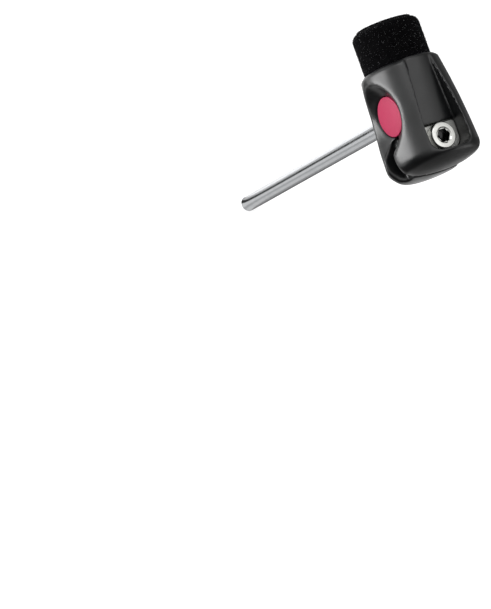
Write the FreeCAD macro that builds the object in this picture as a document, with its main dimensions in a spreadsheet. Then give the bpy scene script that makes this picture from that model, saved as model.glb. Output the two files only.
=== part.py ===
"""Bass drum beater: a steel rod, a pivot hub on its end and a moulded head that clamps round the hub.

The rod stands along +Z with its lower end at the origin. The felt strikes towards +Y, and the hub lies
along X. Lengths are in millimetres and angles in degrees.
"""

import FreeCAD, Part
import Sketcher

import math
import os
import re

DRIVING_SIZES = (
    # rod and hub
    ("hub_height", 180.0, "rod's lower end to the hub's axis"),
    ("rod_diameter", 8.0, "steel rod"),
    ("rod_chamfer", 0.4, "bevel on the rod's lower end"),
    ("spigot_diameter", 6.0, "turned end of the rod, inside the hub"),
    ("spigot_length", 15.0, "from the rod's shoulder to its top"),
    ("spigot_chamfer", 0.6, "lead-in on the spigot"),
    ("hub_diameter", 20.0, "barrel that the head clamps"),
    ("hub_length", 25.4, "barrel between the two discs"),
    ("hub_chamfer", 0.4, "bevel on the barrel's ends"),
    ("seat_depth", 1.0, "spot face that the rod's shoulder stands on"),
    ("seat_clearance", 0.9, "spot face round the rod"),
    ("bore_depth", 1.0, "room past the end of the spigot and of each peg"),
    ("fixed_clearance", 0.02, "radial gap of pieces that are pressed or glued together"),
    # discs in the ends of the hub
    ("disc_diameter", 19.6, "coloured disc on each end of the hub"),
    ("disc_thickness", 1.6, "disc"),
    ("disc_bevel", 0.4, "outer edge of the disc"),
    ("peg_diameter", 5.0, "peg that holds the disc"),
    ("peg_length", 4.0, "peg"),
    # outer form of the head, measured from the hub's axis
    ("barrel_radius", 22.45, "barrel of the head, at the hub"),
    ("barrel_rise", 1.2, "barrel's axis above the felt's axis, at the hub"),
    ("barrel_taper", 8.0, "barrel narrows from the hub to the felt, each side"),
    ("barrel_flare", 2.4, "barrel widens from the hub to the back, each side"),
    ("barrel_tilt", 2.6, "barrel's axis climbs towards the back"),
    ("collar_front", 22.3, "rim of the felt cup, towards the strike"),
    ("collar_bevel", 1.7, "shoulder of the rim"),
    ("dome_reach", 32.6, "crest of the back end's dome"),
    ("dome_radius", 90.0, "curve of the back end"),
    ("dome_drop", 10.0, "crest of the dome below the felt's axis"),
    ("upper_bevel", 1.8, "back edge of the upper jaw"),
    ("lower_bevel", 4.2, "back edge of the lower jaw"),
    ("lip_bevel", 3.0, "underside of the upper jaw, along its two sides"),
    # clamp
    ("bore_clearance", 0.05, "running gap round the hub"),
    ("split_gap", 4.0, "slot between the two jaws"),
    ("dish_past", 1.55, "plane where the side dish is measured, outside the barrel's radius"),
    ("dish_radius", 19.4, "side dish in that plane"),
    ("disc_stand", 0.2, "disc proud of the dish's floor"),
    ("tilt_limit", 12.0, "head's tilt on the hub, each way"),
    ("rod_gap", 1.5, "slot beside the rod"),
    ("tilt_gap", 0.8, "slot before and behind the rod at full tilt"),
    ("rod_slot_corner", 3.0, "corners of the rod's slot"),
    # channel and bolt pocket on top of the head
    ("channel_half", 11.3, "half width of the channel at the bolt pocket"),
    ("channel_mouth", 6.4, "half width of the channel at the rim"),
    ("channel_crown", 21.0, "curve of the channel's floor, from side to side"),
    ("channel_height", 16.5, "channel's floor above the hub's axis"),
    ("channel_slope", 7.5, "floor rises towards the rim"),
    ("pocket_length", 13.8, "bolt pocket along the head"),
    ("pocket_corner", 5.6, "back corners of the pocket"),
    ("pocket_front_corner", 2.0, "front corners of the pocket"),
    ("pocket_floor", 10.5, "pocket's floor above the hub's axis"),
    # clamp bolt, its plate and nut
    ("bolt_offset", 17.4, "bolt's axis behind the hub's axis"),
    ("bolt_diameter", 8.0, "shank"),
    ("bolt_head_diameter", 13.0, "low cylinder head"),
    ("bolt_head_height", 5.0, "low cylinder head"),
    ("bolt_head_bevel", 0.6, "top edge of the head"),
    ("bolt_end_chamfer", 0.9, "lead-in of the shank"),
    ("bolt_end_recess", 0.05, "end of the shank inside the nut's lower face"),
    ("socket_width", 6.0, "hexagon socket across flats"),
    ("socket_depth", 3.4, "hexagon socket"),
    ("bolt_gap", 0.05, "running gap round the shank in the nut, and under the head"),
    ("bolt_hole_gap", 0.4, "clearance round the shank in plate and jaws"),
    ("plate_thickness", 2.0, "pressure plate"),
    ("plate_gap", 0.2, "plate inside its pocket"),
    ("nut_width", 13.0, "hexagon nut across flats"),
    ("nut_height", 6.5, "nut"),
    ("nut_chamfer", 0.9, "bevelled corners of the nut"),
    ("nut_inset", 11.45, "nut's upper face inside the barrel's radius"),
    ("nut_gap", 0.15, "nut inside its trap"),
    # felt
    ("felt_diameter", 33.4, "felt pad"),
    ("felt_seat", 14.4, "cup's floor from the hub's axis"),
    ("felt_reach", 43.8, "striking face from the hub's axis"),
    ("felt_crown", 1.0, "height of the crown on the striking face"),
    ("felt_flat", 12.0, "flat middle of the striking face, across"),
    ("felt_bevel", 2.0, "edge of the striking face"),
    # cuts run this far past what they cut
    ("overrun", 6.0, "tool overrun"),
)

# The nut's upper face lies this far below the hub's axis
NUT_SEAT = "(barrel_radius - nut_inset)"

doc = FreeCAD.newDocument("bass_drum_beater")
sizes = doc.addObject("Spreadsheet::Sheet", "Sizes")
for row, (alias, size, meaning) in enumerate(DRIVING_SIZES, start=1):
    sizes.set(f"A{row}", meaning)
    sizes.set(f"B{row}", str(size))
    sizes.setAlias(f"B{row}", alias)
doc.recompute()


# Sheet and sketch helpers


def cells(expression):
    """The expression with each size name turned into its cell of the sheet."""
    return re.sub(r"[a-z]+(?:_[a-z]+)+|overrun", lambda name: "Sizes." + name.group(), expression)


def number(expression):
    """What an expression on the sheet comes to."""
    found = sizes.evalExpression(re.sub(r"Sizes\.", "", expression))
    return float(getattr(found, "Value", found))


def new_body(name, z="hub_height", y="0"):
    """An empty sub-part whose own origin lies at height z and at y along the strike."""
    body = doc.addObject("PartDesign::Body", name)
    body.Label = name
    body.setExpression("Placement.Base.y", cells(y))
    body.setExpression("Placement.Base.z", cells(z))
    return body


HORIZONTAL = FreeCAD.Vector(1, 0, 0)
NORMAL = FreeCAD.Vector(0, 0, 1)


def sketch_on(body, role, name, offset="0", shift="0", lift="0", tilt="0", about=HORIZONTAL):
    """A sketch on one of the body's origin planes.

    It is moved by offset along that plane's normal, by shift along its horizontal axis and by lift along its
    vertical one, then turned by tilt about its own horizontal axis or its normal.
    """
    plane = next(f for f in body.Origin.OriginFeatures if f.Role == role)
    sketch = body.newObject("Sketcher::SketchObject", name)
    sketch.AttachmentSupport = (plane, [""])
    sketch.MapMode = "FlatFace"
    turned = FreeCAD.Rotation(about, number(tilt))
    sketch.AttachmentOffset = FreeCAD.Placement(FreeCAD.Vector(), turned)
    if tilt != "0":
        sketch.setExpression("AttachmentOffset.Rotation.Angle", cells(tilt))
    sketch.setExpression("AttachmentOffset.Base.x", cells(shift))
    sketch.setExpression("AttachmentOffset.Base.y", cells(lift))
    sketch.setExpression("AttachmentOffset.Base.z", cells(offset))
    return sketch


def pin_point(sketch, geometry, point, across, up):
    """Ties a point of the sketch to its two coordinates."""
    ties = (("DistanceX", across, -2, "across"), ("DistanceY", up, -1, "up"))
    for kind, place, axis, word in ties:
        if place == "0":
            sketch.addConstraint(Sketcher.Constraint("PointOnObject", geometry, point, axis))
            continue
        tie = Sketcher.Constraint(kind, -1, 1, geometry, point, number(place))
        index = sketch.addConstraint(tie)
        sketch.renameConstraint(index, f"{word}_{geometry}_{point}")
        sketch.setExpression(f"Constraints.{word}_{geometry}_{point}", cells(place))


def tie_radius(sketch, geometry, radius):
    index = sketch.addConstraint(Sketcher.Constraint("Radius", geometry, number(radius)))
    sketch.renameConstraint(index, f"radius_{geometry}")
    sketch.setExpression(f"Constraints.radius_{geometry}", cells(radius))


def circle(sketch, across, up, radius):
    centre = FreeCAD.Vector(number(across), number(up), 0)
    normal = FreeCAD.Vector(0, 0, 1)
    geometry = sketch.addGeometry(Part.Circle(centre, normal, number(radius)), False)
    pin_point(sketch, geometry, 3, across, up)
    tie_radius(sketch, geometry, radius)


def arc_between(start, end, radius, turns_left):
    """The arc under a half circle from start to end, drawn counter-clockwise."""
    if not turns_left:
        start, end = end, start
    middle = (start + end) * 0.5
    run = end - start
    rise = math.sqrt(max(0.0, radius**2 - (run.Length / 2) ** 2))
    left = FreeCAD.Vector(-run.y, run.x, 0).normalize()
    centre = middle + left * rise
    angles = [math.atan2(p.y - centre.y, p.x - centre.x) for p in (start, end)]
    if angles[1] < angles[0]:
        angles[1] += 2 * math.pi
    whole = Part.Circle(centre, FreeCAD.Vector(0, 0, 1), radius)
    return Part.ArcOfCircle(whole, angles[0], angles[1])


def outline(sketch, corners, arcs=None):
    """A closed outline through corners, each a pair of expressions.

    arcs gives (radius, turns_left) for the runs that are arcs, by the index of the corner they start at.
    """
    arcs = arcs or {}
    spots = [FreeCAD.Vector(number(u), number(v), 0) for u, v in corners]
    runs = []
    for i, spot in enumerate(spots):
        following = spots[(i + 1) % len(spots)]
        if i in arcs:
            radius, turns_left = arcs[i]
            shape = arc_between(spot, following, number(radius), turns_left)
            first, last = (1, 2) if turns_left else (2, 1)
        else:
            shape = Part.LineSegment(spot, following)
            first, last = 1, 2
        runs.append((sketch.addGeometry(shape, False), first, last))
    for i, (geometry, first, last) in enumerate(runs):
        before, _, before_last = runs[i - 1]
        joint = Sketcher.Constraint("Coincident", before, before_last, geometry, first)
        sketch.addConstraint(joint)
        pin_point(sketch, geometry, first, *corners[i])
        if i in arcs:
            tie_radius(sketch, geometry, arcs[i][0])


def hexagon(sketch, across_flats):
    """A hexagon about the sketch's origin with two flats square to the vertical axis."""
    half = f"({across_flats}) / 2"
    corner = f"({across_flats}) / sqrt(3)"
    signs = ((1, 0), (0.5, 1), (-0.5, 1), (-1, 0), (-0.5, -1), (0.5, -1))
    outline(sketch, [(f"{u} * {corner}", f"{v} * {half}" if v else "0") for u, v in signs])


def rounded_box(sketch, half_width, low, high, low_corner, high_corner):
    """A box about the vertical axis, from low to high, with its own corner radius at each end."""
    corners = [
        (f"-({half_width}) + {low_corner}", low),
        (f"{half_width} - ({low_corner})", low),
        (half_width, f"{low} + {low_corner}"),
        (half_width, f"{high} - ({high_corner})"),
        (f"{half_width} - ({high_corner})", high),
        (f"-({half_width}) + {high_corner}", high),
        (f"-({half_width})", f"{high} - ({high_corner})"),
        (f"-({half_width})", f"{low} + {low_corner}"),
    ]
    low_arc = (low_corner, True)
    high_arc = (high_corner, True)
    outline(sketch, corners, {1: low_arc, 3: high_arc, 5: high_arc, 7: low_arc})


# Feature helpers

LEAST_CUT = 0.5  # cubic millimetres that even the smallest cut takes away


def pad(body, sketch, name, length, symmetric=False, downward=False):
    feature = body.newObject("PartDesign::Pad", name)
    feature.Profile = sketch
    feature.SideType = "Symmetric" if symmetric else "One side"
    feature.Reversed = downward
    feature.setExpression("Length", cells(length))
    doc.recompute()
    return feature


def cut(body, kind, sketch, name, **settings):
    """A cutting feature, with the proof that it took material away."""
    doc.recompute()
    before = body.Shape.Volume
    feature = body.newObject(f"PartDesign::{kind}", name)
    feature.Profile = sketch
    for key, setting in settings.items():
        if isinstance(setting, str) and key in ("Length", "Angle"):
            feature.setExpression(key, cells(setting))
        else:
            setattr(feature, key, setting)
    doc.recompute()
    if before - body.Shape.Volume < LEAST_CUT:
        raise RuntimeError(f"{name} cuts nothing")
    return feature


def turn(body, sketch, name, axis):
    feature = body.newObject("PartDesign::Revolution", name)
    feature.Profile = sketch
    feature.ReferenceAxis = (sketch, [axis])
    feature.Angle = 360
    doc.recompute()
    return feature


def bevel_edges(body, name, size, chosen):
    """A chamfer on the edges so far that chosen picks."""
    doc.recompute()
    base = body.Tip
    edges = [(i, e) for i, e in enumerate(base.Shape.Edges, start=1) if not e.Degenerated]
    names = [f"Edge{i}" for i, e in edges if chosen(e)]
    if not names:
        raise RuntimeError(f"{name} finds no edge")
    feature = body.newObject("PartDesign::Chamfer", name)
    feature.Base = (base, names)
    feature.setExpression("Size", cells(size))
    doc.recompute()
    if not feature.isValid():
        raise RuntimeError(f"{name} does not compute")
    return feature


def points_on(edge, count=9):
    return edge.discretize(Number=count)


def all_points(edge, test):
    return all(test(p) for p in points_on(edge))


def near(one, other, within=0.01):
    return abs(one - other) < within


# Rod, hub and discs


def make_rod():
    """A turned rod: bevelled lower end, and a spigot above the shoulder that stands on the hub."""
    body = new_body("rod", z="0")
    radius = "rod_diameter / 2"
    spigot = "spigot_diameter / 2"
    shoulder = "hub_height - hub_diameter / 2 + seat_depth"
    top = f"{shoulder} + spigot_length"
    profile = sketch_on(body, "XZ_Plane", "rod_profile")
    outline(profile, [
        ("0", "0"),
        (f"{radius} - rod_chamfer", "0"),
        (radius, "rod_chamfer"),
        (radius, shoulder),
        (spigot, shoulder),
        (spigot, f"{top} - spigot_chamfer"),
        (f"{spigot} - spigot_chamfer", top),
        ("0", top),
    ])
    turn(body, profile, "rod_turned", "V_Axis")
    return body


def make_hub():
    """A barrel across the rod, spot faced and bored for the spigot, with a peg hole in each end."""
    body = new_body("pivot_hub")
    barrel = sketch_on(body, "YZ_Plane", "barrel_circle")
    circle(barrel, "0", "0", "hub_diameter / 2")
    pad(body, barrel, "barrel", "hub_length", symmetric=True)
    ends = number("hub_length / 2")
    bevel_edges(body, "barrel_bevels", "hub_chamfer", lambda e: all_points(e, lambda p: near(abs(p.x), ends)))
    seat = sketch_on(body, "XY_Plane", "seat_circle", offset="-(hub_diameter / 2 - seat_depth)")
    circle(seat, "0", "0", "rod_diameter / 2 + seat_clearance")
    cut(body, "Pocket", seat, "rod_seat", Type="ThroughAll")
    bore = sketch_on(body, "XY_Plane", "spigot_circle", offset="-hub_diameter / 2")
    circle(bore, "0", "0", "spigot_diameter / 2 + fixed_clearance")
    depth = "seat_depth + spigot_length + bore_depth"
    cut(body, "Pocket", bore, "spigot_bore", Length=depth, Reversed=True)
    for side, sign in (("left", -1), ("right", 1)):
        hole = sketch_on(body, "YZ_Plane", f"peg_circle_{side}", offset=f"{sign} * hub_length / 2")
        circle(hole, "0", "0", "peg_diameter / 2 + fixed_clearance")
        length = "peg_length + bore_depth"
        cut(body, "Pocket", hole, f"peg_hole_{side}", Length=length, Reversed=sign < 0)
    return body


def make_disc(side, sign):
    """A flat disc with a peg, on one end of the hub."""
    body = new_body(f"hub_disc_{side}")
    inner = f"{sign} * hub_length / 2"
    plate = sketch_on(body, "YZ_Plane", f"disc_circle_{side}", offset=inner)
    circle(plate, "0", "0", "disc_diameter / 2")
    pad(body, plate, f"disc_plate_{side}", "disc_thickness", downward=sign < 0)
    outer = number("hub_length / 2 + disc_thickness")

    def on_outer_face(edge):
        return all_points(edge, lambda p: near(abs(p.x), outer))

    bevel_edges(body, f"disc_edge_{side}", "disc_bevel", on_outer_face)
    peg = sketch_on(body, "YZ_Plane", f"disc_peg_circle_{side}", offset=inner)
    circle(peg, "0", "0", "peg_diameter / 2")
    pad(body, peg, f"disc_peg_{side}", "peg_length", downward=sign > 0)
    return body


# Head shell


def head_form(body):
    """The barrel of the head, widest at the back, with its domed back end."""
    barrel = sketch_on(
        body, "YZ_Plane", "barrel_profile", lift="barrel_rise", tilt="-barrel_tilt", about=NORMAL
    )
    back = "(dome_reach + overrun)"
    taper, flare = "tan(barrel_taper)", "tan(barrel_flare)"
    outline(barrel, [
        ("collar_front", "0"),
        ("collar_front", f"barrel_radius - collar_front * {taper} - collar_bevel"),
        ("collar_front - collar_bevel", f"barrel_radius - (collar_front - collar_bevel) * {taper}"),
        ("0", "barrel_radius"),
        (f"-{back}", f"barrel_radius + {back} * {flare}"),
        (f"-{back}", "0"),
    ])
    turn(body, barrel, "flared_barrel", "H_Axis")

    dome = sketch_on(
        body, "YZ_Plane", "dome_profile", shift="dome_radius - dome_reach", lift="-dome_drop"
    )
    cover = f"(barrel_radius + {back} * {flare} + barrel_rise + dome_drop + overrun)"
    edge = f"-sqrt(dome_radius ^ 2 - {cover} ^ 2)"
    behind = "-(dome_radius + 3 * overrun)"
    corners = [(edge, cover), (edge, f"-{cover}"), (behind, f"-{cover}"), (behind, cover)]
    outline(dome, corners, {0: ("dome_radius", True)})
    swing = f"2 * asin({cover} / dome_radius)"
    cut(body, "Groove", dome, "domed_back", ReferenceAxis=(dome, ["V_Axis"]), Midplane=True, Angle=swing)


def head_clamp(body):
    """The slot that parts the two jaws, and the bevelled back edges of the jaws."""
    slot = sketch_on(body, "YZ_Plane", "split_profile")
    behind = "-(dome_reach + overrun)"
    half = "split_gap / 2"
    outline(slot, [(behind, f"-{half}"), ("0", f"-{half}"), ("0", half), (behind, half)])
    cut(body, "Pocket", slot, "split_slot", Type="ThroughAll", SideType="Symmetric")

    half_gap = number(half)
    dome_start = -number("bolt_offset")

    def on_back_rim(edge, sign):
        ends_here = all_points(edge, lambda p: p.y < dome_start and sign * p.z > half_gap - 0.01)
        return ends_here and not all_points(edge, lambda p: near(sign * p.z, half_gap))

    bevel_edges(body, "upper_jaw_edge", "upper_bevel", lambda e: on_back_rim(e, 1))
    bevel_edges(body, "lower_jaw_edge", "lower_bevel", lambda e: on_back_rim(e, -1))

    beside_hub = number("hub_length / 2")

    def on_side_lip(edge):
        return all_points(edge, lambda p: near(p.z, half_gap) and abs(p.x) > beside_hub)

    bevel_edges(body, "upper_jaw_lips", "lip_bevel", on_side_lip)


def head_top(body):
    """The sloping channel on top, lofted over its crowned floor, and the bolt pocket at its end."""
    above = "barrel_rise + barrel_radius + overrun / 2"
    sections = []
    for end, place, half in (
        ("front", "(collar_front + overrun / 4)", "channel_mouth"),
        ("back", "(pocket_length / 2 - bolt_offset - pocket_front_corner)", "channel_half"),
    ):
        section = sketch_on(body, "XZ_Plane", f"channel_{end}", offset=f"-{place}")
        sag = f"(channel_crown - sqrt(channel_crown ^ 2 - {half} ^ 2))"
        edge = f"channel_height + {place} * tan(channel_slope) - {sag}"
        corners = [(half, edge), (f"-{half}", edge), (f"-{half}", above), (half, above)]
        outline(section, corners, {0: ("channel_crown", True)})
        sections.append(section)
    cut(body, "SubtractiveLoft", sections[0], "channel", Sections=sections[1:], Ruled=True)
    pocket = sketch_on(body, "XY_Plane", "pocket_plan", offset="pocket_floor")
    pocket_plan(pocket, "0", "-bolt_offset")
    cut(body, "Pocket", pocket, "bolt_pocket", Type="ThroughAll", Reversed=True)


def pocket_plan(sketch, gap, middle):
    """Outline of the bolt pocket round the bolt's axis at middle, drawn in by gap."""
    half = f"channel_half - {gap}"
    low = f"{middle} - pocket_length / 2 + {gap}"
    high = f"{middle} + pocket_length / 2 - {gap}"
    rounded_box(sketch, half, low, high, f"pocket_corner - {gap}", f"pocket_front_corner - {gap}")


def head_sides(body):
    """The bore round the hub and the hollow dish at each end of it, part of a ball."""
    bore_radius = "hub_diameter / 2 + bore_clearance"
    dish = sketch_on(body, "XY_Plane", "dish_profile")
    floor = "hub_length / 2 + disc_thickness - disc_stand"
    outer = "(barrel_radius + dish_past)"
    corners = [(floor, "0"), (outer, "0"), (outer, "dish_radius"), (floor, bore_radius)]
    spread = f"({outer} ^ 2 + dish_radius ^ 2 - ({floor}) ^ 2 - ({bore_radius}) ^ 2)"
    centre = f"{spread} / (2 * ({outer} - ({floor})))"
    ball = f"sqrt(({centre} - ({floor})) ^ 2 + ({bore_radius}) ^ 2)"
    outline(dish, corners, {2: (ball, True)})
    axis = (dish, ["H_Axis"])
    bowl = cut(body, "Groove", dish, "dish_right", ReferenceAxis=axis, Angle=360)
    mirror = body.newObject("PartDesign::Mirrored", "dish_left")
    mirror.Originals = [bowl]
    mirror.MirrorPlane = (next(f for f in body.Origin.OriginFeatures if f.Role == "YZ_Plane"), [""])
    body.Tip = mirror
    bore = sketch_on(body, "YZ_Plane", "bore_circle")
    circle(bore, "0", "0", bore_radius)
    cut(body, "Pocket", bore, "hub_bore", Type="ThroughAll", SideType="Symmetric")


def head_openings(body):
    """The rod's slot, the felt cup, the bolt's hole and the nut's trap."""
    slot = sketch_on(body, "XY_Plane", "rod_slot_plan")
    reach = "(barrel_radius - barrel_rise + overrun / 2)"
    along = f"rod_diameter / 2 / cos(tilt_limit) + {reach} * tan(tilt_limit) + tilt_gap"
    corner = "rod_slot_corner"
    rounded_box(slot, "rod_diameter / 2 + rod_gap", f"-({along})", along, corner, corner)
    cut(body, "Pocket", slot, "rod_slot", Type="ThroughAll")

    cup = sketch_on(body, "XZ_Plane", "cup_circle", offset="-felt_seat")
    circle(cup, "0", "0", "felt_diameter / 2 + fixed_clearance")
    cut(body, "Pocket", cup, "felt_cup", Type="ThroughAll")

    hole = sketch_on(body, "XY_Plane", "bolt_hole_circle")
    circle(hole, "0", "-bolt_offset", "bolt_diameter / 2 + bolt_hole_gap")
    cut(body, "Pocket", hole, "bolt_hole", Type="ThroughAll", SideType="Symmetric")

    trap = sketch_on(body, "XY_Plane", "nut_trap_plan", offset=f"-{NUT_SEAT}", lift="-bolt_offset")
    hexagon(trap, "nut_width + 2 * nut_gap")
    cut(body, "Pocket", trap, "nut_trap", Type="ThroughAll")


def make_head():
    body = new_body("head_shell")
    head_form(body)
    head_clamp(body)
    head_top(body)
    head_sides(body)
    head_openings(body)
    return body


# Felt


def make_felt():
    """A round felt pad with a crowned striking face and a worn edge."""
    body = new_body("felt_pad")
    radius = "felt_diameter / 2"
    shoulder = "felt_reach - felt_crown"
    profile = sketch_on(body, "YZ_Plane", "felt_profile")
    outline(profile, [
        ("felt_seat", "0"),
        ("felt_reach", "0"),
        ("felt_reach", "felt_flat / 2"),
        (shoulder, f"{radius} - felt_bevel"),
        (f"{shoulder} - felt_bevel", radius),
        ("felt_seat", radius),
    ])
    turn(body, profile, "felt_turned", "H_Axis")
    return body


# Clamp plate, bolt and nut


def make_plate():
    """The pressure plate under the bolt's head, shaped to the pocket."""
    body = new_body("clamp_plate", y="-bolt_offset")
    plan = sketch_on(body, "XY_Plane", "plate_plan", offset="pocket_floor")
    pocket_plan(plan, "plate_gap", "0")
    pad(body, plan, "plate", "plate_thickness")
    hole = sketch_on(body, "XY_Plane", "plate_hole_circle", offset="pocket_floor")
    circle(hole, "0", "0", "bolt_diameter / 2 + bolt_hole_gap")
    cut(body, "Pocket", hole, "plate_hole", Type="ThroughAll", Reversed=True)
    return body


def make_bolt():
    """A low cylinder head screw with a hexagon socket."""
    body = new_body("clamp_bolt", y="-bolt_offset")
    seat = "pocket_floor + plate_thickness + bolt_gap"
    top = f"{seat} + bolt_head_height"
    end = f"-({NUT_SEAT} + nut_height - bolt_end_recess)"
    shank = "bolt_diameter / 2"
    head = "bolt_head_diameter / 2"
    profile = sketch_on(body, "XZ_Plane", "bolt_profile")
    outline(profile, [
        ("0", end),
        (f"{shank} - bolt_end_chamfer", end),
        (shank, f"{end} + bolt_end_chamfer"),
        (shank, seat),
        (head, seat),
        (head, f"{top} - bolt_head_bevel"),
        (f"{head} - bolt_head_bevel", top),
        ("0", top),
    ])
    turn(body, profile, "bolt_turned", "V_Axis")
    socket = sketch_on(body, "XY_Plane", "socket_plan", offset=top)
    hexagon(socket, "socket_width")
    cut(body, "Pocket", socket, "hexagon_socket", Length="socket_depth")
    return body


def make_nut():
    """A hexagon nut with bevelled corners, held in the lower jaw."""
    body = new_body("clamp_nut", y="-bolt_offset")
    plan = sketch_on(body, "XY_Plane", "nut_plan", offset=f"-{NUT_SEAT}")
    hexagon(plan, "nut_width")
    pad(body, plan, "nut_blank", "nut_height", downward=True)
    corner = "nut_width / sqrt(3)"
    flat = f"{corner} - nut_chamfer"
    past = f"{corner} + overrun"
    slope = "tan(30)"
    faces = (("upper", f"-{NUT_SEAT}", -1), ("lower", f"-({NUT_SEAT} + nut_height)", 1))
    for face, height, sign in faces:
        bevel = sketch_on(body, "XZ_Plane", f"nut_{face}_profile")
        deep = f"{height} + {sign} * (nut_chamfer + overrun) * {slope}"
        corners = [(flat, height), (past, height), (past, deep)]
        outline(bevel, corners if sign > 0 else corners[::-1])
        cut(body, "Groove", bevel, f"nut_{face}_bevel", ReferenceAxis=(bevel, ["V_Axis"]), Angle=360)
    hole = sketch_on(body, "XY_Plane", "nut_hole_circle", offset=f"-{NUT_SEAT}")
    circle(hole, "0", "0", "bolt_diameter / 2 + bolt_gap")
    cut(body, "Pocket", hole, "nut_hole", Type="ThroughAll")
    return body


subparts = [
    make_rod(),
    make_hub(),
    make_disc("left", -1),
    make_disc("right", 1),
    make_head(),
    make_felt(),
    make_plate(),
    make_bolt(),
    make_nut(),
]
doc.recompute()

failed = [o.Name for o in doc.Objects if {"Invalid", "Error"} & set(o.State)]
if failed:
    raise RuntimeError(f"these did not compute: {failed}")
for subpart in subparts:
    if subpart.Shape.isNull() or not subpart.Shape.isValid():
        raise RuntimeError(f"{subpart.Label} has no valid shape")

os.makedirs("parts", exist_ok=True)
for subpart in subparts:
    subpart.Shape.exportStep(f"parts/{subpart.Label}.step")
    box = subpart.Shape.BoundBox
    print(
        f"{subpart.Label}: {len(subpart.Shape.Solids)} solid, {subpart.Shape.Volume:.1f} mm3, "
        f"{box.XLength:.1f} x {box.YLength:.1f} x {box.ZLength:.1f} mm"
    )
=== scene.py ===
# %% [markdown]
# # A bass drum beater
#
# This beater is swung against a bass drum. A bright steel rod carries a short barrel, the hub, across its
# upper end. A black moulded head is clamped round the hub, with a block of black felt in its front and one
# bolt at its back that pulls the two jaws of the clamp together.
#
# The CAD model already has every piece in its real size and place, in metres, with the rod along +Z. Here
# each piece gets the soft edges, the fibres and the finishes that a solid model leaves out. The model is
# loaded first.

# %% Load the model
import math
import random

import bmesh
import bpy
from mathutils import Matrix, Vector


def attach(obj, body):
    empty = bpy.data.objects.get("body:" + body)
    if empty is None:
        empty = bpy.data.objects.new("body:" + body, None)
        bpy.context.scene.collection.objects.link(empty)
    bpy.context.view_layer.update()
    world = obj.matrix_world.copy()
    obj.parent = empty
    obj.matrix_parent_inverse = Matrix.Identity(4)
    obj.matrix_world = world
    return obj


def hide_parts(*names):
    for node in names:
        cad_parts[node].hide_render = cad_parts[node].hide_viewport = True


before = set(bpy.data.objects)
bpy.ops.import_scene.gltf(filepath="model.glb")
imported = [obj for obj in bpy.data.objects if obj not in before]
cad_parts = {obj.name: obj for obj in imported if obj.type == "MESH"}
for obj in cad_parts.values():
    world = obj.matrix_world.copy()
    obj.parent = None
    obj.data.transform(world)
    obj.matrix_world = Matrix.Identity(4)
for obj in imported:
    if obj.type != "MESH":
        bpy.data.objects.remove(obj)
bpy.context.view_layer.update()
MM = 0.001
HUB = Vector((0, 0, 180 * MM))

# %% [markdown]
# ## Camera
#
# The photograph was taken from far off with a long lens, so that the rod keeps its thickness all along. A
# camera can be placed by eye, or worked out from a few points whose place on the object and in the picture
# are both known. The second way was used: it gave the picture's right and up directions on the object, and
# 2.1 pixels to the millimetre. The camera stands 1.6 m from the hub on that line of sight. It is then
# turned a little, so that the hub falls at its own place in the picture's upper right.

# %% Set up the camera
PICTURE = Vector((491, 609))
HUB_IN_PICTURE = Vector((413.8, 110.2))
PIXELS_PER_METRE = 2100
DISTANCE = 1.6
SENSOR = 36.0

right = Vector((0.8096, -0.3384, 0.4796)).normalized()
up = Vector((0.2306, 0.9348, 0.2702))
up = (up - right * up.dot(right)).normalized()
towards_camera = right.cross(up)

camera_data = bpy.data.cameras.new("camera")
camera_data.sensor_width = SENSOR
camera_data.lens = SENSOR * DISTANCE * PIXELS_PER_METRE / PICTURE.y
camera = bpy.data.objects.new("camera", camera_data)
bpy.context.scene.collection.objects.link(camera)

focal_pixels = camera_data.lens / SENSOR * PICTURE.y
off_middle = HUB_IN_PICTURE - PICTURE / 2
to_hub = Vector((off_middle.x, -off_middle.y, -focal_pixels)).normalized()
facing = Matrix((right, up, towards_camera)).transposed()
turned = facing @ to_hub.rotation_difference(Vector((0, 0, -1))).to_matrix()
camera.matrix_world = Matrix.Translation(HUB + towards_camera * DISTANCE) @ turned.to_4x4()
bpy.context.scene.camera = camera
camera_height = math.degrees(math.asin(towards_camera.z))
print(f"lens {camera_data.lens:.1f} mm, seen from {camera_height:.1f} degrees above")

# %% [markdown]
# ## Working by operators
#
# Blender's operators act on whatever is selected, just as when modelling by hand. Five small helpers keep
# that in order: one selects a single piece, one selects faces or edges of it by their place, one adds a
# modifier and applies it, one makes a piece of a CAD mesh, and one ties a finished piece to the body that
# it moves with. A new primitive selects itself, so it needs no helper.

# %% Helpers for modelling
CLOSE = 0.01 * MM  # a point this near to a face lies on it


def only(piece):
    """Selects one piece and nothing else."""
    if bpy.context.mode != "OBJECT":
        bpy.ops.object.mode_set(mode="OBJECT")
    bpy.ops.object.select_all(action="DESELECT")
    piece.select_set(True)
    bpy.context.view_layer.objects.active = piece


def pick(kind, chosen):
    """Selects the faces or edges of the piece in edit mode for which chosen is true, and counts them."""
    bpy.ops.mesh.select_mode(type=kind)
    bpy.ops.mesh.select_all(action="DESELECT")
    mesh = bpy.context.object.data
    shape = bmesh.from_edit_mesh(mesh)
    items = [item for item in {"EDGE": shape.edges, "FACE": shape.faces}[kind] if chosen(item)]
    for item in items:
        item.select_set(True)
    bmesh.update_edit_mesh(mesh)
    return len(items)


def modify(piece, kind, **settings):
    """Adds a modifier with its settings and applies it."""
    only(piece)
    modifier = piece.modifiers.new(kind.lower(), kind)
    for key, value in settings.items():
        setattr(modifier, key, value)
    bpy.ops.object.modifier_apply(modifier=modifier.name)


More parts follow.
